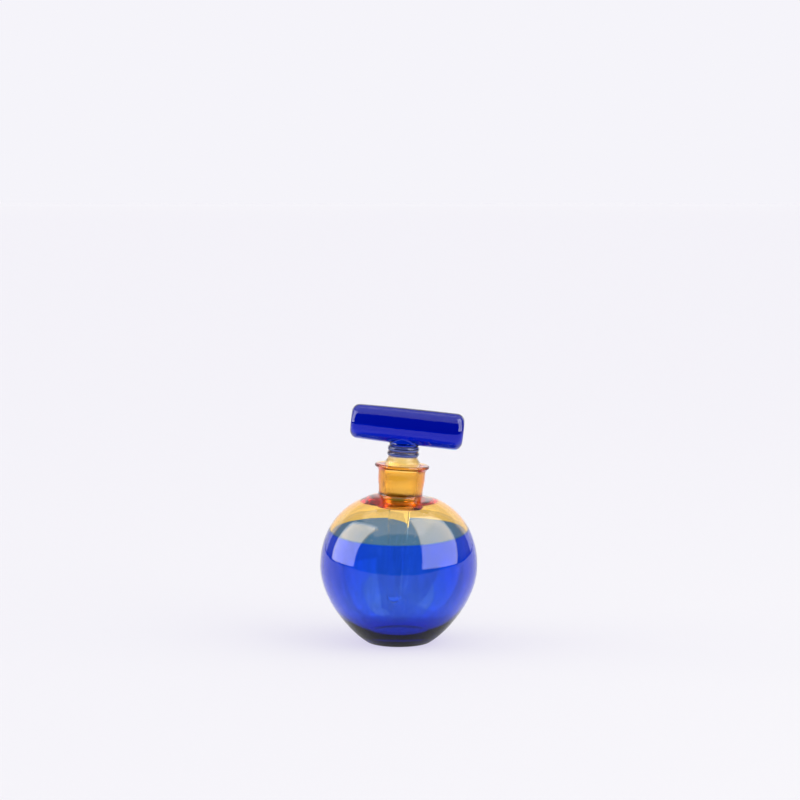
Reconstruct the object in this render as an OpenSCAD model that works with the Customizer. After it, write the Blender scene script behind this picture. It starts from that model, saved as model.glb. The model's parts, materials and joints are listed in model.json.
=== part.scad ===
// Blown glass scent bottle: a blue cup fused to an amber cup, an amber neck with a ground bore,
// and a ground stopper with a dabber rod below and a cobalt bar above.
// Millimetres, +Z up, origin at the centre of the foot.

/* [Body] */
// Widest diameter of the body
body_d = 65.8; // [60:0.2:72]
// Height of the widest circle above the table
widest_z = 32.3; // [30:0.1:35]
// Diameter of the flat foot
foot_d = 26; // [22:0.5:28]
// Height of the seam where the blue cup meets the amber cup, on the body's axis
seam_z = 47.7; // [45:0.1:49]
// Tilt of the seam, in degrees: it is lower at the front
seam_tilt = 5; // [0:0.5:6]
// Height of the shoulder's crown, where the neck stands on it
crown_z = 61.5; // [60:0.1:63]
// Wall thickness at the widest circle
wall_t = 1.6; // [1.4:0.1:2]
// Thickness of the glass over the foot
base_t = 3.8; // [3:0.1:5]

/* [Neck] */
// Lean of the neck and stopper from the upright, towards +X, in degrees
lean = 3.8; // [0:0.1:5]
// How far the neck's lower end is off the body's axis
neck_shift = 0.3; // [0:0.1:1]
// Height of the neck's lower end, inside the body
neck_foot_z = 56.4; // [56:0.1:57]
// Length of the neck from its lower end to its rim
neck_l = 18.7; // [17:0.1:20]
// Outer diameter at the waist, just above the shoulder
waist_d = 18.4; // [18:0.1:19]
// Outer diameter just under the lip
neck_d = 19.5; // [19:0.1:20]
// Outer diameter of the flared lip
lip_d = 22.9; // [22:0.1:24]
// Outer diameter of the glass run in under the shoulder to seal the neck
ring_d = 31; // [28:0.5:33]

/* [Ground joint] */
// Diameter of the plug where it enters the rim
plug_d = 14.4; // [13:0.1:14.6]
// Length of the tapered ground part of the plug
plug_l = 18; // [15:0.1:18.4]
// Change of diameter per unit of length on the ground taper
taper = 0.1; // [0.08:0.01:0.12]
// Radial clearance between plug and bore
joint_gap = 0.05; // [0.02:0.01:0.09]

/* [Stopper] */
// Diameter of the rod under the plug
rod_d = 9; // [7:0.1:9.4]
// Diameter of the rod near its tip
rod_tip_d = 6; // [4:0.1:8]
// Length of the rod below the plug
rod_l = 40.7; // [30:0.1:43]
// Diameter of the two clear beads between plug and handle
collar_d = 13.3; // [12:0.1:14]
// Height of the two beads together
collar_h = 4.4; // [3.5:0.1:5.5]

/* [Handle] */
// Length of the bar
bar_l = 47; // [38:0.5:52]
// Diameter of the bar at its thicker end
bar_d = 15.2; // [13:0.1:16]
// Diameter of the bar at its thinner end
bar_thin_d = 14.3; // [13:0.1:15.2]
// Radius of the rounded rims of the bar's ends
bar_edge_r = 3; // [2:0.1:5]
// Tilt of the bar from square to the stopper's axis, in degrees
bar_tilt = 2.6; // [0:0.1:5]
// How far the bar's middle is off the stopper's axis
bar_shift = 0.9; // [0:0.1:2]

/* [Hidden] */

$fn = 96;
STEPS = 14;                       // pieces in each curve of an outline
blue = [0.05, 0.2, 0.78, 0.6];
amber = [0.96, 0.62, 0.2, 0.6];
clear = [0.86, 0.88, 0.92, 0.5];
frosted = [0.96, 0.86, 0.66];
cobalt = [0.03, 0.05, 0.55];

body_r = body_d / 2;
foot_r = foot_d / 2;
waist_r = waist_d / 2;
neck_r = neck_d / 2;
lip_r = lip_d / 2;
ring_r = ring_d / 2;
plug_r = plug_d / 2;
rod_r = rod_d / 2;
rod_tip_r = rod_tip_d / 2;
collar_r = collar_d / 2;
bar_r = bar_d / 2;
bar_thin_r = bar_thin_d / 2;

// Places along the neck's own axis, from its lower end
plug_top = neck_l + 0.2;          // where the ground part of the plug ends, at the rim
plug_foot = plug_top - plug_l;
dome_h = 2.9;                     // the plug's rounded top, between the rim and the beads
collar_foot = plug_top + dome_h;
collar_top = collar_foot + collar_h;
bar_sink = 0.6;                   // how far the bar's underside lies above the beads
bar_axis = collar_top + bar_sink + bar_r;

// One point of a cubic Bezier curve, and the whole curve as a list
function bezier_point(p, t) = pow(1 - t, 3) * p[0] + 3 * pow(1 - t, 2) * t * p[1]
    + 3 * (1 - t) * t * t * p[2] + pow(t, 3) * p[3];
function bezier(p, steps = STEPS) = [for (i = [0 : steps]) bezier_point(p, i / steps)];
// An arc about a centre, from one angle to another
function arc(c, r, a, b, steps = 8) = [for (i = [0 : steps]) c + r * [cos(a + (b - a) * i / steps),
    sin(a + (b - a) * i / steps)]];
// A curve's points without its first, for where it follows another curve
function after_first(p) = [for (i = [1 : len(p) - 1]) p[i]];

// Outer outline of the body: foot to widest circle, and widest circle to crown
outer_low = [[foot_r, 0], [foot_r + 8.1, 4.8], [body_r, widest_z - 13.5], [body_r, widest_z]];
outer_high = [[body_r, widest_z], [body_r, widest_z + 17.5], [21.5, crown_z - 1.9], [10.6, crown_z]];
// Inner outline: a nearly flat floor, its rounded edge, the wall, and the underside of the shoulder
inner_r = body_r - wall_t;
floor_r = foot_r + 1;
under_crown = crown_z - 1.8;
cavity_floor = [[0, base_t], [7, base_t], [10.5, base_t - 0.4], [floor_r, base_t + 0.6]];
inner_low = [[floor_r, base_t + 0.6], [foot_r + 8.4, base_t + 3], [inner_r, widest_z - 12.8], [inner_r, widest_z]];
inner_high = [[inner_r, widest_z], [inner_r, widest_z + 17], [20.8, crown_z - 3.8], [10.8, under_crown]];

// Stands a child on the leaning axis of neck and stopper
module on_neck_axis() {
    translate([neck_shift, 0, neck_foot_z]) rotate([0, lean, 0]) children();
}

// The room inside the body, as one solid
module inside() {
    rotate_extrude() polygon(concat(
        bezier(cavity_floor),
        after_first(bezier(inner_low)),
        after_first(bezier(inner_high)),
        [[0, under_crown]]
    ));
}

// The blown body as one closed shell, foot to crown
module shell() {
    difference() {
        rotate_extrude() polygon(concat(
            [[0, 0]],
            bezier(outer_low),
            after_first(bezier(outer_high)),
            [[0, crown_z]]
        ));
        inside();
    }
}

// Everything above the tilted seam
module above_seam() {
    wide = 2 * body_d;
    translate([0, 0, seam_z]) rotate([seam_tilt, 0, 0]) translate([-wide / 2, -wide / 2, 0]) cube(wide);
}

// The stretch of the leaning axis that the neck tube fills, out to its waist
module neck_core() {
    on_neck_axis() translate([0, 0, -3]) cylinder(r = waist_r, h = 14);
}

// Blue lower cup, open at the seam, with a thick flat foot
module bowl() {
    color(blue) difference() {
        shell();
        above_seam();
    }
}

// Amber upper cup, from the seam to the neck
module shoulder() {
    color(amber) difference() {
        intersection() {
            shell();
            above_seam();
        }
        neck_core();
    }
}

// Amber neck tube: flared rounded lip, slight waist, and the tapered ground bore
module neck() {
    bore_r = plug_r + joint_gap;
    color(amber) on_neck_axis() rotate_extrude() polygon(concat(
        [[bore_r - taper * plug_top / 2, 0], [waist_r, 0], [waist_r, 7.2]],
        bezier([[waist_r, 7.2], [waist_r + 0.1, 10], [neck_r, 10.5], [neck_r, 13.5]], 8),
        bezier([[neck_r, 13.5], [neck_r, 16.2], [neck_r + 0.3, 16.4], [lip_r - 0.7, 17]], 8),
        arc([lip_r - 0.75, neck_l - 0.95], 0.75, -70, 110),
        bezier([[lip_r - 1.6, neck_l - 0.3], [bore_r + 1.6, neck_l - 0.5], [bore_r + 0.5, neck_l - 0.4],
            [bore_r - taper * 0.6, neck_l - 1.0]], 6)
    ));
}

// Amber glass run in under the shoulder where the neck tube is sealed to it: a lip round the tube, then a flat run
module neck_ring() {
    color(amber) intersection() {
        inside();
        on_neck_axis() difference() {
            rotate_extrude() polygon(concat(
                [[waist_r - 2, 0.2]],
                bezier([[waist_r - 0.7, 0.2], [waist_r + 0.4, 0.3], [waist_r + 0.3, 1.8], [waist_r + 1.8, 1.9]], 8),
                [[ring_r, 1.9], [ring_r, 8], [waist_r - 2, 8]]
            ));
            translate([0, 0, -3]) cylinder(r = waist_r, h = 14);
        }
    }
}

// Frosted plug: ground taper, softened foot, and a rounded top above the rim
module plug() {
    foot_plug_r = plug_r - taper * plug_l / 2;
    color(frosted) on_neck_axis() rotate_extrude() polygon(concat(
        [[0, plug_foot], [rod_r + 0.4, plug_foot]],
        arc([foot_plug_r - 0.8, plug_foot + 0.8], 0.8, -90, 0, 6),
        [[plug_r, plug_top]],
        bezier([[plug_r, plug_top], [plug_r, plug_top + 1.3], [collar_r - 0.5, plug_top + 1.5],
            [collar_r - 0.7, collar_foot]], 8),
        [[0, collar_foot]]
    ));
}

// Clear solid rod that carries a drop of scent: it narrows to a round tip
module dabber_rod() {
    top = plug_foot;
    color(clear) on_neck_axis() rotate_extrude() polygon(concat(
        [[0, top]],
        bezier([[rod_r + 0.4, top], [rod_r, top - 0.6], [rod_r, top - 1.4], [rod_r - 0.05, top - 3]], 6),
        [[rod_tip_r, top - rod_l + rod_tip_r]],
        arc([0, top - rod_l + rod_tip_r], rod_tip_r, 0, -90)
    ));
}

// Two clear beads, one on the other
module collar() {
    bead_h = collar_h / 2;
    color(clear) on_neck_axis() translate([0, 0, collar_foot]) rotate_extrude() polygon(concat(
        [[0, 0]],
        bezier([[collar_r - 0.7, 0], [collar_r + 0.2, 0.2], [collar_r + 0.2, bead_h - 0.2],
            [collar_r - 0.6, bead_h]], 8),
        bezier([[collar_r - 0.6, bead_h], [collar_r + 0.1, bead_h + 0.2], [collar_r + 0.1, collar_h - 0.3],
            [collar_r - 0.7, collar_h]], 8),
        [[0, collar_h]]
    ));
}

// The bar as a plain solid of revolution, lying along X, a little thicker towards +X
module bar_solid() {
    half = bar_l / 2;
    e = bar_edge_r;
    on_neck_axis() translate([bar_shift, 0, bar_axis]) rotate([0, 90 + bar_tilt, 0]) rotate_extrude()
        polygon(concat(
            [[0, -half]],
            bezier([[bar_thin_r - e, -half], [bar_thin_r - e / 2, -half], [bar_thin_r, -half + e / 2],
                [bar_thin_r, -half + e]], 8),
            bezier([[bar_thin_r, -half + e], [bar_thin_r + 0.45, -half / 3], [bar_r + 0.1, half / 3],
                [bar_r, half - e]], 8),
            bezier([[bar_r, half - e], [bar_r, half - e / 2], [bar_r - e / 2, half], [bar_r - e, half]], 8),
            [[0, half]]
        ));
}

// Cobalt bar that is gripped to lift the stopper
module handle_bar() {
    color(cobalt) bar_solid();
}

// Blue glass drawn down from the bar onto the beads
module handle_boss() {
    boss_r = collar_r - 0.7;
    boss_h = 5.5;
    color(cobalt) difference() {
        on_neck_axis() translate([0, 0, collar_top]) rotate_extrude() polygon(concat(
            [[0, 0]],
            bezier([[boss_r, 0], [boss_r - 0.1, 0.8], [boss_r - 0.2, 1.2], [boss_r - 0.2, 2]], 8),
            [[boss_r - 0.4, boss_h], [0, boss_h]]
        ));
        bar_solid();
    }
}

bowl();
shoulder();
neck();
neck_ring();
plug();
dabber_rod();
collar();
handle_boss();
handle_bar();
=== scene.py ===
"""Looks of a two-colour blown glass scent bottle with a ground stopper, built round its CAD frame.

Metres, +Z up, origin at the centre of the foot. The glass is made of closed walls with real thickness,
so that its depth of colour, dark base and bright rims come from light passing through it. The dark base
also mirrors the painted shadow round the foot.
"""

import json
import math

import bpy
import numpy as np
from mathutils import Matrix, Vector


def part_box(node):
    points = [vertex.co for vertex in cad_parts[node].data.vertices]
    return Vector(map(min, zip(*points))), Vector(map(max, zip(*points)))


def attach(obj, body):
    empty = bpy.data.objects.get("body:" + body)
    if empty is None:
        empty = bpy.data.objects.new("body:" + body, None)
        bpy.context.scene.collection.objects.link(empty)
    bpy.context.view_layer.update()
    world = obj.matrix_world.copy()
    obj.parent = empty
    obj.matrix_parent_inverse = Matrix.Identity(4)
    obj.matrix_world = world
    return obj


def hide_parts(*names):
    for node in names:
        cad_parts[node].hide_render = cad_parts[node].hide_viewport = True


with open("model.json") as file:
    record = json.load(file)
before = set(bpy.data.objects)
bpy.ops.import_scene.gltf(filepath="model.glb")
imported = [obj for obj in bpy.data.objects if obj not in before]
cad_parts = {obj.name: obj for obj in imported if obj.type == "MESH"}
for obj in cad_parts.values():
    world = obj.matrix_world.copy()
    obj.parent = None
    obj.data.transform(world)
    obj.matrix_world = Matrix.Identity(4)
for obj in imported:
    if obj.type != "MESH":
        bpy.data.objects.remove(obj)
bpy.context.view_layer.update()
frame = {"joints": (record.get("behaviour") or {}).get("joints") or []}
MM = 0.001

# ---------------------------------------------------------------- driving dimensions, from the frame
bowl_lo, bowl_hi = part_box("bowl")
lift = next(j for j in frame["joints"] if j["name"] == "stopper_lift")
BODY_R = (bowl_hi.x - bowl_lo.x) / 2
LEAN = math.atan2(lift["axis"][0], lift["axis"][2])

# the rest repeats the CAD model's own dimensions
WIDEST_Z = 32.3 * MM
FOOT_R = 13.0 * MM
CROWN_Z = 61.5 * MM
SEAM_Z = 47.7 * MM
SEAM_TILT = math.radians(5.0)
WALL = 1.6 * MM
BASE = 3.8 * MM
NECK_FOOT = Vector((0.3 * MM, 0, 56.4 * MM))
NECK_L = 18.7 * MM
WAIST_R = 9.2 * MM
NECK_R = 9.75 * MM
LIP_R = 11.45 * MM
PLUG_R = 7.2 * MM
PLUG_L = 18.0 * MM
TAPER = 0.1
JOINT_GAP = 0.05 * MM
ROD_R = 4.5 * MM
ROD_TIP_R = 3.0 * MM
ROD_L = 40.7 * MM
COLLAR_R = 6.65 * MM
COLLAR_H = 4.4 * MM
DOME_H = 2.9 * MM
BAR_L = 47.0 * MM
BAR_R = 7.6 * MM
BAR_THIN_R = 7.15 * MM
BAR_EDGE = 3.0 * MM
BAR_TILT = math.radians(2.6)
BAR_SHIFT = 0.9 * MM
BAR_SINK = 0.6 * MM

PLUG_TOP = NECK_L + 0.2 * MM
PLUG_FOOT = PLUG_TOP - PLUG_L
COLLAR_FOOT = PLUG_TOP + DOME_H
COLLAR_TOP = COLLAR_FOOT + COLLAR_H
BAR_AXIS = COLLAR_TOP + BAR_SINK + BAR_R
BOSS_L = 5.5 * MM                 # from the beads up into the bar

# these belong to the looks alone
FOOT_KICK = 0.5 * MM              # how far the middle of the foot is hollowed
HAIR = 0.012 * MM                 # half of the gap where two glasses meet, so that each is a closed wall
ROUND = 224                       # faces round each turned piece
SEAM_SEARCH = 2000                # steps along a curve when the seam is looked for
SHARP_FROM = math.radians(50)     # angle between faces from which an edge stays sharp


# ---------------------------------------------------------------- outlines
def bezier(p, steps=36, start=0.0, end=1.0):
    """Points of a cubic Bezier curve, as (radius, height) rows. Ends may differ from angle to angle."""
    share = np.linspace(0, 1, steps + 1)
    start, end = np.atleast_1d(start), np.atleast_1d(end)
    t = (start + (end - start) * share[:, None])[..., None]
    p = np.array(p, float)
    return (1 - t) ** 3 * p[0] + 3 * (1 - t) ** 2 * t * p[1] + 3 * (1 - t) * t * t * p[2] + t**3 * p[3]


def line(*rows):
    """Points of a polyline."""
    return np.array(rows, float)[:, None]


def arc(centre, radius, start, end, steps=12):
    """Points of an arc, with its angles in degrees."""
    a = np.radians(np.linspace(start, end, steps + 1))
    return (np.array(centre) + radius * np.stack([np.cos(a), np.sin(a)], 1))[:, None]


def joined(*stretches):
    """One outline out of several, without repeated points: rows, by angle, by radius and height."""
    wide = max(s.shape[1] for s in stretches)
    rows = np.vstack([np.broadcast_to(s, (len(s), wide, 2)) for s in stretches])
    keep = [0]
    for i in range(1, len(rows)):
        if np.abs(rows[i] - rows[keep[-1]]).max() > 1e-6:
            keep.append(i)
    return rows[keep]


ROUND_ANGLES = np.linspace(0, 2 * np.pi, ROUND, endpoint=False)


def at_seam(p, above):
    """Where a rising Bezier curve crosses the tilted seam, moved up by above, at each angle round."""
    t = np.linspace(0, 1, SEAM_SEARCH + 1)
    r, z = bezier(p, SEAM_SEARCH)[:, 0].T
    return np.array([np.interp(0, z - SEAM_Z - above - math.tan(SEAM_TILT) * r * math.sin(a), t)
                     for a in ROUND_ANGLES])


def mm(*rows):
    """Rows given in millimetres, in metres."""
    return [[r * MM, z * MM] for r, z in rows]


INNER_R = BODY_R - WALL
FLOOR_EDGE = [FOOT_R + 1 * MM, BASE + 0.6 * MM]
OUTER_LOW = [[FOOT_R, 0], [FOOT_R + 8.1 * MM, 4.8 * MM], [BODY_R, WIDEST_Z - 13.5 * MM], [BODY_R, WIDEST_Z]]
OUTER_HIGH = [[BODY_R, WIDEST_Z], [BODY_R, WIDEST_Z + 17.5 * MM], [21.5 * MM, CROWN_Z - 1.9 * MM],
              [10.6 * MM, CROWN_Z]]
CAVITY_FLOOR = [[0, BASE], [7 * MM, BASE], [10.5 * MM, BASE - 0.4 * MM], FLOOR_EDGE]
INNER_LOW = [FLOOR_EDGE, [FOOT_R + 8.4 * MM, BASE + 3 * MM], [INNER_R, WIDEST_Z - 12.8 * MM],
             [INNER_R, WIDEST_Z]]
INNER_HIGH = [[INNER_R, WIDEST_Z], [INNER_R, WIDEST_Z + 17 * MM], [20.8 * MM, CROWN_Z - 3.8 * MM],
              [10.8 * MM, CROWN_Z - 1.8 * MM]]


# ---------------------------------------------------------------- turned meshes
def neck_matrix():
    """From the leaning axis of neck and stopper, with its lower end at the origin, to the bottle."""
    return Matrix.Translation(NECK_FOOT) @ Matrix.Rotation(LEAN, 4, "Y")


def smooth_mesh(name, points, faces):
    """A smooth-shaded object of these points and faces, with its normals outwards."""
    mesh = bpy.data.meshes.new(name)
    mesh.from_pydata([tuple(p) for p in points], [], faces)
    mesh.update()
    obj = bpy.data.objects.new(name, mesh)
    bpy.context.scene.collection.objects.link(obj)
    p = np.array(points)
    volume = 0.0
    for f in faces:
        for i in range(1, len(f) - 1):
            volume += np.dot(p[f[0]], np.cross(p[f[i]], p[f[i + 1]]))
    if volume < 0:
        mesh.flip_normals()
    mesh.shade_smooth()
    return obj


def turned(name, outline, place, closed_loop=False, fused=()):
    """Turns an outline about its axis. place puts a ring of points in the bottle.

    fused says which rows start a face that is melted to the next piece.
    """
    round_steps = outline.shape[1] if outline.shape[1] > 1 else ROUND
    angles = np.linspace(0, 2 * np.pi, round_steps, endpoint=False)
    points, rings, faces, melted = [], [], [], []
    for row in np.broadcast_to(outline, (len(outline), round_steps, 2)):
        on_axis = row[:, 0].max() < 1e-7
        n = 1 if on_axis else round_steps
        rings.append(list(range(len(points), len(points) + n)))
        points.extend(place(row[:n, 0], row[:n, 1], angles[:n]))
    last = len(rings) if closed_loop else len(rings) - 1
    for i in range(last):
        a, b = rings[i], rings[(i + 1) % len(rings)]
        for k in range(round_steps):
            m = (k + 1) % round_steps
            if len(a) == 1:
                faces.append((a[0], b[k], b[m]))
            elif len(b) == 1:
                faces.append((a[k], b[0], a[m]))
            else:
                faces.append((a[k], b[k], b[m], a[m]))
            melted.append(float(i in fused))
    obj = smooth_mesh(name, points, faces)
    mark_fused(obj, melted)
    return obj


def mark_fused(obj, melted):
    """Marks the faces that are melted to the next piece, and gives them sharp edges."""
    flag = obj.data.attributes.new("fused", "FLOAT", "FACE")
    flag.data.foreach_set("value", np.array(melted, float))
    obj.data.set_sharp_from_angle(angle=SHARP_FROM)


def upright(r, z, a):
    """A ring about the body's own axis."""
    return np.stack([r * np.cos(a), r * np.sin(a), z], 1)


def carried(r, z, a, matrix):
    """A ring about the axis of this matrix."""
    p = np.stack([r * np.cos(a), r * np.sin(a), z, np.ones_like(a)], 1)
    return (p @ np.array(matrix).T)[:, :3]


def leaning(r, z, a):
    """A ring about the leaning axis, with heights counted from the neck's lower end."""
    return carried(r, z, a, neck_matrix())


# ---------------------------------------------------------------- glass pieces
def make_bowl():
    """Blue cup: a slightly hollow foot, the wall up to the seam, and a nearly flat floor inside."""
    kick = bezier([[0, FOOT_KICK], [6 * MM, FOOT_KICK], *mm((9, 0.3), (10, 0.15))], 12)
    foot = bezier(mm((10, 0.15), (10.8, 0), (11.4, 0), (12.2, 0)), 6)
    heel_end = 0.03               # where along the outer outline the rounded edge of the foot ends
    heel = bezier([*mm((12.2, 0), (12.8, 0), (13.1, 0.05)), bezier(OUTER_LOW, 1, heel_end)[0, 0]], 6)
    outside = joined(kick, foot, heel, bezier(OUTER_LOW, 56, heel_end),
                     bezier(OUTER_HIGH, 20, 0, at_seam(OUTER_HIGH, -HAIR)))
    inside = joined(bezier(INNER_HIGH, 20, at_seam(INNER_HIGH, -HAIR), 0), bezier(INNER_LOW, 56, 1, 0),
                    bezier(CAVITY_FLOOR, 16, 1, 0))
    return turned("bowl_glass", joined(outside, inside), upright, fused=[len(outside) - 1])


def make_amber():
    """Amber shoulder, neck, flared lip and ground bore in one wall, thick where the neck is sealed in."""
    foot = NECK_FOOT.z
    rim = foot + NECK_L
    bore_r = PLUG_R + JOINT_GAP
    bore_foot_r = bore_r - TAPER * PLUG_TOP / 2
    bore_top = [bore_r - TAPER * 0.6 * MM, rim - 1.0 * MM]
    bore_foot = [bore_foot_r + 0.05 * MM, foot + 1.2 * MM]
    lip_round = 0.75 * MM
    throat = [NECK_R, foot + 13.5 * MM]
    tube_end = [WAIST_R - 0.7 * MM, foot + 0.2 * MM]
    seal_edge = [WAIST_R + 1.8 * MM, foot + 1.9 * MM]
    seal_start = 0.84              # where along the inner outline the seal's run of glass begins
    shoulder = bezier(OUTER_HIGH, 44, at_seam(OUTER_HIGH, HAIR))
    tube = joined(
        bezier([OUTER_HIGH[3], [9.6 * MM, CROWN_Z + 0.1 * MM], [WAIST_R, CROWN_Z + 0.25 * MM],
                [WAIST_R, CROWN_Z + 0.8 * MM]], 14),
        bezier([[WAIST_R, foot + 7.2 * MM], [WAIST_R + 0.1 * MM, foot + 10 * MM],
                [NECK_R, foot + 10.5 * MM], throat], 16),
        bezier([throat, [NECK_R, foot + 16.2 * MM], [NECK_R + 0.3 * MM, foot + 16.4 * MM],
                [LIP_R - 0.7 * MM, foot + 17 * MM]], 16),
        arc([LIP_R - lip_round, rim - 0.95 * MM], lip_round, -70, 110, 16),
        bezier([[LIP_R - 1.6 * MM, rim - 0.3 * MM], [bore_r + 1.6 * MM, rim - 0.5 * MM],
                [bore_r + 0.5 * MM, rim - 0.4 * MM], bore_top], 14),
        bezier([bore_top, bore_top, bore_foot, bore_foot], 40),
        bezier([bore_foot, [bore_foot_r, foot + 0.1 * MM], [bore_foot_r + 0.6 * MM, foot - 0.1 * MM],
                tube_end], 14),
        bezier([tube_end, [WAIST_R + 0.4 * MM, foot + 0.3 * MM], [WAIST_R + 0.3 * MM, foot + 1.8 * MM],
                seal_edge], 12),
        bezier([seal_edge, [WAIST_R + 3.5 * MM, foot + 2 * MM], [WAIST_R + 5 * MM, foot + 2.1 * MM],
                bezier(INNER_HIGH, 1, seal_start)[0, 0]], 12),
    )
    inside = bezier(INNER_HIGH, 44, seal_start, at_seam(INNER_HIGH, HAIR))
    outline = joined(shoulder, tube, inside)
    blend_from, blend_to = 16 * MM, OUTER_HIGH[3][0]     # radii over which upright turns into leaning
    full = neck_matrix() @ Matrix.Translation((0, 0, -foot))

    def place(r, z, a):
        share = np.clip((blend_from - r) / (blend_from - blend_to), 0, 1)[:, None]
        share = share * share * (3 - 2 * share)
        return (1 - share) * upright(r, z, a) + share * carried(r, z, a, full)

    obj = turned("amber_glass", outline, place, closed_loop=True, fused=[len(outline) - 1])
    ground = obj.data.attributes.new("ground", "FLOAT", "POINT")
    co = np.array([v.co for v in obj.data.vertices])
    local = np.c_[co, np.ones(len(co))] @ np.array(neck_matrix().inverted()).T
    radius = np.hypot(local[:, 0], local[:, 1])
    on_bore = (radius < bore_r + 0.02 * MM) & (local[:, 2] > 1.0 * MM) & (local[:, 2] < NECK_L - 0.9 * MM)
    ground.data.foreach_set("value", on_bore.astype(float))
    return obj


def make_plug():
    """Ground plug: the taper that seals the bore, and a rounded frosted top above the rim."""
    foot_r = PLUG_R - TAPER * PLUG_L / 2
    foot_round = 0.8 * MM
    taper_top = [PLUG_R, PLUG_TOP - 0.3 * MM]
    top = COLLAR_FOOT - HAIR
    base = line([0, PLUG_FOOT], [ROD_R + 0.4 * MM, PLUG_FOOT])
    side = joined(
        arc([foot_r - foot_round, PLUG_FOOT + foot_round], foot_round, -90, 0, 8),
        bezier([[foot_r, PLUG_FOOT + foot_round]] * 2 + [taper_top] * 2, 20),
        bezier([taper_top, [PLUG_R + 0.02 * MM, PLUG_TOP + 1.3 * MM],
                [COLLAR_R - 0.4 * MM, PLUG_TOP + 1.5 * MM], [COLLAR_R - 0.7 * MM, top]], 16),
    )
    outline = joined(base, side, line([0, top]))
    return turned("ground_plug", outline, leaning, fused=[0, len(outline) - 2])


def make_rod():
    """Solid clear rod under the plug, narrowing to a round tip."""
    top = PLUG_FOOT - HAIR
    tip = PLUG_FOOT - ROD_L
    root = [ROD_R - 0.05 * MM, top - 3 * MM]
    end = [ROD_TIP_R, tip + ROD_TIP_R]
    outline = joined(
        line([0, top]),
        bezier([[ROD_R + 0.4 * MM, top], [ROD_R, top - 0.6 * MM], [ROD_R, top - 1.4 * MM], root], 10),
        bezier([root, root, end, end], 40),
        arc([0, tip + ROD_TIP_R], ROD_TIP_R, 0, -90, 14),
    )
    return turned("dabber_glass", outline, leaning, fused=[0])


def make_collar():
    """Two clear beads, one on the other."""
    foot, top = COLLAR_FOOT + HAIR, COLLAR_TOP - HAIR
    middle = (foot + top) / 2
    waist = [COLLAR_R - 0.6 * MM, middle]
    outline = joined(
        line([0, foot]),
        bezier([[COLLAR_R - 0.7 * MM, foot], [COLLAR_R + 0.2 * MM, foot + 0.2 * MM],
                [COLLAR_R + 0.2 * MM, middle - 0.2 * MM], waist], 14),
        bezier([waist, [COLLAR_R + 0.1 * MM, middle + 0.2 * MM],
                [COLLAR_R + 0.1 * MM, top - 0.3 * MM], [COLLAR_R - 0.7 * MM, top]], 14),
        line([0, top]),
    )
    return turned("collar_glass", outline, leaning, fused=[0, len(outline) - 2])


def evaluated(obj):
    """The object with its modifiers built into its mesh."""
    mesh = bpy.data.meshes.new_from_object(obj.evaluated_get(bpy.context.evaluated_depsgraph_get()))
    obj.modifiers.clear()
    obj.data = mesh
    return obj


def make_handle():
    """Cobalt bar with the boss drawn down from it, melted into one piece."""
    half = BAR_L / 2
    e = BAR_EDGE
    voxel, relax_rounds = 0.24 * MM, 30
    bar_frame = neck_matrix() @ Matrix.Translation((BAR_SHIFT, 0, BAR_AXIS)) @ Matrix.Rotation(
        math.pi / 2 + BAR_TILT, 4, "Y")

    def on_bar(r, z, a):
        return carried(r, z, a, bar_frame)

    bar = turned("cobalt_handle", joined(
        line([0, -half]),
        bezier([[BAR_THIN_R - e, -half], [BAR_THIN_R - e / 2, -half], [BAR_THIN_R, -half + e / 2],
                [BAR_THIN_R, -half + e]], 12),
        bezier([[BAR_THIN_R, -half + e], [BAR_THIN_R + 0.45 * MM, -half / 3], [BAR_R + 0.1 * MM, half / 3],
                [BAR_R, half - e]], 40),
        bezier([[BAR_R, half - e], [BAR_R, half - e / 2], [BAR_R - e / 2, half], [BAR_R - e, half]], 12),
        line([0, half]),
    ), on_bar)
    boss_r = COLLAR_R - 0.7 * MM
    foot = COLLAR_TOP + HAIR
    boss = turned("boss", joined(
        line([0, foot]),
        bezier([[boss_r, foot], [boss_r - 0.1 * MM, foot + 0.8 * MM], [boss_r - 0.2 * MM, foot + 1.2 * MM],
                [boss_r - 0.2 * MM, foot + 2.0 * MM]], 10),
        line([boss_r - 0.4 * MM, foot + BOSS_L], [0, foot + BOSS_L]),
    ), leaning)
    union = bar.modifiers.new("union", "BOOLEAN")
    union.operation = "UNION"
    union.object = boss
    melt = bar.modifiers.new("melt", "REMESH")
    melt.mode = "VOXEL"
    melt.voxel_size = voxel
    relax = bar.modifiers.new("relax", "SMOOTH")
    relax.factor = 0.5
    relax.iterations = relax_rounds
    evaluated(bar)
    bpy.data.objects.remove(boss)
    bar.data.shade_smooth()
    down = neck_matrix().inverted()
    melted = [(down @ f.center).z < foot + 0.1 * MM for f in bar.data.polygons]
    mark_fused(bar, melted)
    return bar


# ---------------------------------------------------------------- materials
GLASS_IOR = 1.5
FUSED_IOR = 1.0005                # on faces melted to the next piece, so that they hardly bend or reflect
WAVINESS, WAVE_DEPTH = 0.25, 0.4 * MM
CORD_STRETCH = (1, 1, 0.35)       # cords run up and down
CORD_RANGE = (0.35, 0.7)          # values of their noise between which the tint gives way to white
GRAIN_SCALE = 2600.0              # how fine a ground face is


def add(tree, kind, **values):
    """A node of this kind, with its inputs and settings by name."""
    made = tree.nodes.new(kind)
    for key, value in values.items():
        name = key.replace("_", " ")
        if name in made.inputs:
            made.inputs[name].default_value = value
        else:
            setattr(made, key, value)
    return made


def maths(tree, operation, a, b=None, clamp=False):
    """A Math node on two sockets or numbers, and its output."""
    made = add(tree, "ShaderNodeMath", operation=operation, use_clamp=clamp)
    for socket, source in zip(made.inputs, (a, b)):
        if source is None:
            continue
        if isinstance(source, (int, float)):
            socket.default_value = source
        else:
            tree.links.new(source, socket)
    return made.outputs[0]


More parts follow.
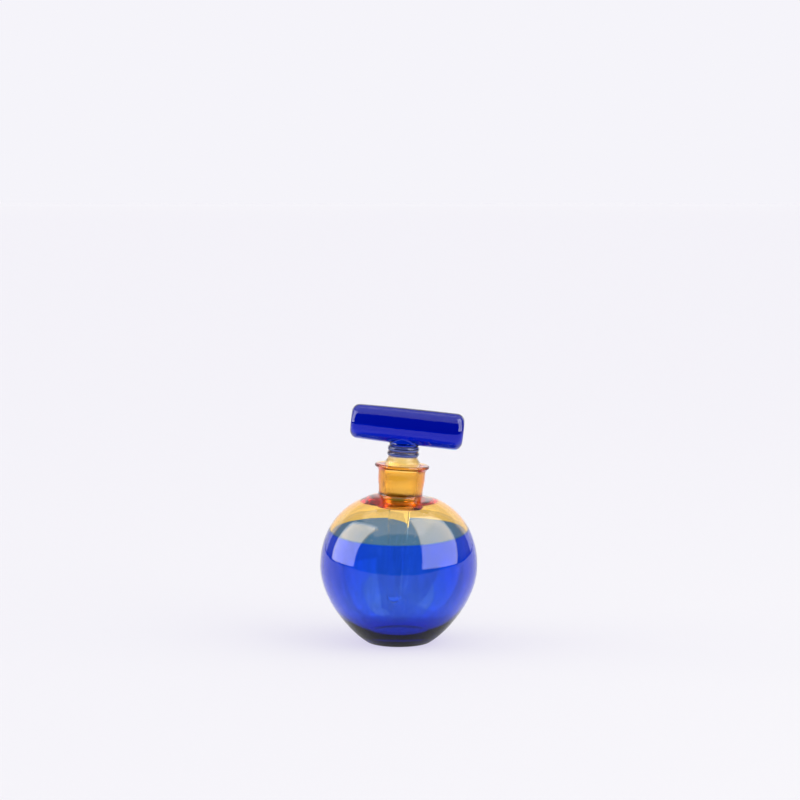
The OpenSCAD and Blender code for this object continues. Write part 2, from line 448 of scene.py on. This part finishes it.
def map_range(tree, source, low, high, to_low=0.0, to_high=1.0, **settings):
    """Takes a value from one range to another, held at the ends, and gives the output."""
    made = add(tree, "ShaderNodeMapRange", **settings)
    for name, value in zip(("From Min", "From Max", "To Min", "To Max"), (low, high, to_low, to_high)):
        made.inputs[name].default_value = value
    tree.links.new(source, made.inputs["Value"])
    return made.outputs[0]


def noise(tree, vector, **values):
    """A noise on these coordinates, and its output."""
    made = add(tree, "ShaderNodeTexNoise", **values)
    tree.links.new(vector, made.inputs["Vector"])
    return made.outputs[0]


def glass(name, colour, density, tint, wave=70.0):
    """Clear glass with its depth of colour in its volume, a gently waving surface and faint cords."""
    mat = bpy.data.materials.new(name)
    mat.use_nodes = True
    tree = mat.node_tree
    tree.nodes.clear()
    out = add(tree, "ShaderNodeOutputMaterial")
    skin = add(tree, "ShaderNodeBsdfPrincipled", Roughness=0.0, IOR=GLASS_IOR, Transmission_Weight=1.0)
    where = add(tree, "ShaderNodeTexCoord")
    stretch = add(tree, "ShaderNodeMapping", Scale=CORD_STRETCH)
    tree.links.new(where.outputs["Object"], stretch.inputs["Vector"])
    cords = noise(tree, stretch.outputs[0], Scale=wave * 3, Detail=3.0, Distortion=0.6)
    mixed = add(tree, "ShaderNodeMix", data_type="RGBA")
    tree.links.new(map_range(tree, cords, *CORD_RANGE), mixed.inputs["Factor"])
    shown = [socket for socket in mixed.inputs if socket.type == "RGBA"]
    shown[0].default_value = (*tint, 1)
    shown[1].default_value = (1, 1, 1, 1)
    colour_out = next(socket for socket in mixed.outputs if socket.type == "RGBA")
    tree.links.new(colour_out, skin.inputs["Base Color"])
    bump = add(tree, "ShaderNodeBump", Strength=WAVINESS, Distance=WAVE_DEPTH)
    tree.links.new(noise(tree, where.outputs["Object"], Scale=wave, Detail=1.0), bump.inputs["Height"])
    tree.links.new(bump.outputs[0], skin.inputs["Normal"])
    joint = add(tree, "ShaderNodeAttribute", attribute_name="fused")
    bend = map_range(tree, joint.outputs["Fac"], 0, 1, GLASS_IOR, FUSED_IOR)
    tree.links.new(bend, skin.inputs["IOR"])
    tree.links.new(skin.outputs[0], out.inputs["Surface"])
    if density > 0:
        depth = add(tree, "ShaderNodeVolumeAbsorption", Color=(*colour, 1), Density=density)
        tree.links.new(depth.outputs[0], out.inputs["Volume"])
    return mat


def grind(mat, rough, mask=None):
    """Gives glass a ground face: rough with a fine grain, all over or where a point attribute says so."""
    tree = mat.node_tree
    where = add(tree, "ShaderNodeTexCoord")
    grain = noise(tree, where.outputs["Object"], Scale=GRAIN_SCALE, Detail=4.0, Roughness=0.7)
    level = map_range(tree, grain, 0, 1, rough * 0.8, rough * 1.2)
    if mask:
        told = add(tree, "ShaderNodeAttribute", attribute_name=mask)
        level = maths(tree, "MULTIPLY", level, told.outputs["Fac"])
    tree.links.new(level, tree.nodes["Principled BSDF"].inputs["Roughness"])


def absorption(*per_mm):
    """Colour and density of a Volume Absorption with these rates for red, green and blue per millimetre."""
    rates = [v / MM for v in per_mm]
    density = max(rates)
    return tuple(1 - v / density for v in rates), density


BLUE_RATES = (1.42, 0.8, 0.1)
AMBER_RATES = (0.02, 0.142, 0.56)
COLLAR_RATES = (0.22, 0.2, 0.11)
COBALT_RATES = (1.0, 0.36, 0.078)
NO_COLOUR = ((1, 1, 1), 0)

blue = glass("blue_glass", *absorption(*BLUE_RATES), tint=(0.92, 0.94, 0.87))
amber = glass("amber_glass", *absorption(*AMBER_RATES), tint=(1.0, 0.98, 0.95))
grind(amber, 0.2, mask="ground")
frost = glass("frosted_glass", *NO_COLOUR, tint=(0.99, 0.99, 0.98), wave=300.0)
grind(frost, 0.28)
clear = glass("clear_glass", *NO_COLOUR, tint=(0.96, 0.98, 0.99), wave=160.0)
smoke = glass("smoke_glass", *absorption(*COLLAR_RATES), tint=(0.93, 0.95, 1.0), wave=160.0)
cobalt = glass("cobalt_glass", *absorption(*COBALT_RATES), tint=(0.9, 0.92, 1.0), wave=120.0)


# ---------------------------------------------------------------- pieces on their bodies
def place_piece(obj, material, body, slot, *nodes):
    """Gives a piece its material and its body, and hides the CAD nodes that it stands for. slot is not used.
    """
    obj.data.materials.clear()
    obj.data.materials.append(material)
    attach(obj, body)
    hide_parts(*nodes)


place_piece(make_bowl(), blue, "bottle", "blue_glass", "bowl")
place_piece(make_amber(), amber, "bottle", "amber_glass", "shoulder", "neck", "neck_ring")
place_piece(make_plug(), frost, "stopper", "frosted_glass", "plug")
place_piece(make_rod(), clear, "stopper", "clear_glass", "dabber_rod")
place_piece(make_collar(), smoke, "stopper", "clear_glass", "collar")
place_piece(make_handle(), cobalt, "stopper", "cobalt_glass", "handle_bar", "handle_boss")


# ---------------------------------------------------------------- camera
CAMERA_DISTANCE = 0.98
CAMERA_HEIGHT = 0.198
CAMERA_PITCH = math.radians(5.615)
CAMERA_X = 0.0005
LENS_MM, SENSOR_MM = 106.65, 36.0
CLIP_END = 100
BOUNCES = 28                      # a line of sight crosses many glass faces
MIRROR_BOUNCES = 16
cam = bpy.data.objects.new("camera", bpy.data.cameras.new("camera"))
bpy.context.scene.collection.objects.link(cam)
cam.location = (CAMERA_X, -CAMERA_DISTANCE, CAMERA_HEIGHT)
cam.rotation_euler = (math.pi / 2 - CAMERA_PITCH, 0, 0)
cam.data.lens = LENS_MM
cam.data.sensor_width = SENSOR_MM
cam.data.clip_end = CLIP_END
bpy.context.scene.camera = cam


# ---------------------------------------------------------------- studio
PALE = (0.915, 0.905, 0.955)      # what the backdrop and the floor look like to the camera
TABLE_HALF, TABLE_FRONT = 1.6, -0.33     # ends of the floor in mirrored views: each side, and in front
FLOOR_REACH = 12.0                       # half of the floor's side
# painted lilac light in the shadows: the fill is lilac and the key-lit colour warm, so the open floor stays
# pale
FLOOR_FILL = (0.592, 0.558, 0.746)       # even light on the floor, which stays in the shadows and tints them
FLOOR_MATT = (0.243, 0.261, 0.151)       # what the key light brings up
# painted shade and light on the floor as the glass sees it: from one distance or place to another, and its
# value at each
FOOT_SHADE = (0.013, 0.045, 0.36, 1.0)   # painted shadow round the foot, by distance from the middle of the foot
BEHIND_SHADE = (-0.05, 0.02, 0.66, 1.08)     # by Y: painted shade in front, and painted light behind the bottle, where it is brighter
POOL_UNDER_GLASS = 0.75                       # painted pool of light under the foot: least brightness of the floor seen straight through the glass


def toward(azimuth, elevation):
    """A direction from the bottle: azimuth 0 is towards the camera and 90 is +X."""
    a, e = math.radians(azimuth), math.radians(elevation)
    return Vector((math.sin(a) * math.cos(e), -math.cos(a) * math.cos(e), math.sin(e)))


def side_of(tree, direction, normal, soft):
    """From 0 to 1 as a direction passes a plane through the bottle, over a soft edge."""
    dot = add(tree, "ShaderNodeVectorMath", operation="DOT_PRODUCT")
    tree.links.new(direction, dot.inputs[0])
    dot.inputs[1].default_value = normal
    return map_range(tree, dot.outputs["Value"], -soft, soft, interpolation_type="SMOOTHSTEP")


def soft_window(tree, direction, corners, soft):
    """1 inside the four-cornered patch of sky between these directions, 0 outside."""
    ways = [toward(*c) for c in corners]
    middle = sum(ways, Vector())
    share = None
    for a, b in zip(ways, ways[1:] + ways[:1]):
        normal = a.cross(b).normalized()
        if normal.dot(middle) < 0:
            normal = -normal
        side = side_of(tree, direction, normal, soft)
        share = side if share is None else maths(tree, "MULTIPLY", share, side)
    return share


# two softboxes, two patches of a pale sweep behind, one overhead light and two faint ones at the sides:
WINDOWS = (                       # corners as azimuth and elevation, radiance, and softness of the edge
    (((-70, -14), (-62, 61), (-120, 40), (-114, -14)), 4.8, 0.03),
    (((31, -14), (95, 80), (124, 44), (87, -14)), 4.1, 0.022),
    (((135, -30), (135, 22), (225, 22), (225, -30)), 0.53, 0.012),
    (((135, -30), (135, 60), (225, 60), (225, -30)), 0.55, 0.012),
    (((-50, 46), (50, 46), (130, 48), (230, 48)), 1.05, 0.05),
    (((100, 0), (100, 55), (137, 60), (137, 0)), 0.3, 0.1),
    (((223, 0), (223, 60), (260, 55), (260, 0)), 0.3, 0.1),
)
DARK, DIM = 0.012, 0.4            # radiance elsewhere: in reflections, and straight through the glass


def unmirrored(tree, path):
    """1 as long as a ray hasn't been mirrored, and 0 after that."""
    return maths(tree, "LESS_THAN", path.outputs["Glossy Depth"], 0.5)


def show(tree, path, in_glass, plain, out):
    """Shows plain to the camera and to what the floor scatters, and in_glass to all that the glass sees."""
    spread = maths(tree, "GREATER_THAN", path.outputs["Diffuse Depth"], 0.5)
    chosen = add(tree, "ShaderNodeMixShader")
    tree.links.new(maths(tree, "MAXIMUM", path.outputs["Is Camera Ray"], spread), chosen.inputs[0])
    tree.links.new(in_glass.outputs[0], chosen.inputs[1])
    tree.links.new(plain.outputs[0], chosen.inputs[2])
    tree.links.new(chosen.outputs[0], out.inputs["Surface"])


def make_world():
    """Pale to the camera and the floor. The glass sees the windows, and a dim or dark room between them."""
    world = bpy.data.worlds.new("studio")
    bpy.context.scene.world = world
    world.use_nodes = True
    tree = world.node_tree
    tree.nodes.clear()
    out = add(tree, "ShaderNodeOutputWorld")
    where = add(tree, "ShaderNodeTexCoord")
    path = add(tree, "ShaderNodeLightPath")
    total = maths(tree, "ADD", maths(tree, "MULTIPLY", unmirrored(tree, path), DIM - DARK), DARK)
    for corners, radiance, soft in WINDOWS:
        patch = soft_window(tree, where.outputs["Generated"], corners, soft)
        total = maths(tree, "ADD", maths(tree, "MULTIPLY", patch, radiance), total)
    studio = add(tree, "ShaderNodeBackground", Color=(1.0, 0.99, 1.0, 1))
    tree.links.new(total, studio.inputs["Strength"])
    pale = add(tree, "ShaderNodeBackground", Color=(*PALE, 1), Strength=1.0)
    show(tree, path, studio, pale, out)


def make_floor():
    """A pale, evenly lit floor with soft shadows. In the glass it glows, with painted shade in front and
    round the foot.
    """
    mesh = bpy.data.meshes.new("floor")
    r = FLOOR_REACH
    mesh.from_pydata([(-r, -r, 0), (r, -r, 0), (r, r, 0), (-r, r, 0)], [], [(0, 1, 2, 3)])
    floor = bpy.data.objects.new("floor", mesh)
    bpy.context.scene.collection.objects.link(floor)
    mat = bpy.data.materials.new("floor")
    mat.use_nodes = True
    tree = mat.node_tree
    tree.nodes.clear()
    out = add(tree, "ShaderNodeOutputMaterial")
    glow = add(tree, "ShaderNodeEmission", Color=(*FLOOR_FILL, 1))
    matt = add(tree, "ShaderNodeBsdfDiffuse", Color=(*FLOOR_MATT, 1))
    lit = add(tree, "ShaderNodeAddShader")
    tree.links.new(glow.outputs[0], lit.inputs[0])
    tree.links.new(matt.outputs[0], lit.inputs[1])
    place = add(tree, "ShaderNodeNewGeometry")
    axes = add(tree, "ShaderNodeSeparateXYZ")
    tree.links.new(place.outputs["Position"], axes.inputs[0])
    away = add(tree, "ShaderNodeVectorMath", operation="LENGTH")
    tree.links.new(place.outputs["Position"], away.inputs[0])
    # what the glass sees of the floor is painted: a shadow round the foot, shade in front and extra light
    # behind
    shade = map_range(tree, away.outputs["Value"], *FOOT_SHADE, interpolation_type="SMOOTHSTEP")
    behind = map_range(tree, axes.outputs["Y"], *BEHIND_SHADE, interpolation_type="SMOOTHSTEP")
    beside = maths(tree, "LESS_THAN", maths(tree, "ABSOLUTE", axes.outputs["X"]), TABLE_HALF)
    inside = maths(tree, "GREATER_THAN", axes.outputs["Y"], TABLE_FRONT)
    path = add(tree, "ShaderNodeLightPath")
    straight = unmirrored(tree, path)
    shown = maths(tree, "MAXIMUM", maths(tree, "MULTIPLY", beside, inside), straight)
    # painted pool of light under the foot for straight views through the glass, laid over the painted shadow
    pool_and_shadow = maths(tree, "MAXIMUM", maths(tree, "MULTIPLY", straight, POOL_UNDER_GLASS), shade)
    seen = maths(tree, "MULTIPLY", maths(tree, "MULTIPLY", pool_and_shadow, behind), shown)
    in_glass = add(tree, "ShaderNodeEmission", Color=(*PALE, 1))
    tree.links.new(seen, in_glass.inputs["Strength"])
    show(tree, path, in_glass, lit, out)
    mesh.materials.append(mat)


def make_light(name, azimuth, elevation, distance, size, power):
    """A square soft light that shines on the floor and the bottle and isn't mirrored itself."""
    data = bpy.data.lights.new(name, "AREA")
    data.energy = power
    data.size = size
    light = bpy.data.objects.new(name, data)
    bpy.context.scene.collection.objects.link(light)
    way = toward(azimuth, elevation)
    light.location = way * distance
    light.rotation_euler = (-way).to_track_quat("-Z", "Y").to_euler()
    light.visible_glossy = False
    light.visible_transmission = False
    light.visible_camera = False


make_world()
make_floor()
make_light("key", azimuth=62, elevation=45, distance=0.9, size=0.6, power=1.2)

scene = bpy.context.scene
scene.view_settings.view_transform = "Standard"
scene.cycles.max_bounces = BOUNCES
scene.cycles.transmission_bounces = BOUNCES
scene.cycles.glossy_bounces = MIRROR_BOUNCES
scene.cycles.transparent_max_bounces = MIRROR_BOUNCES
scene.cycles.sample_clamp_indirect = 6.0
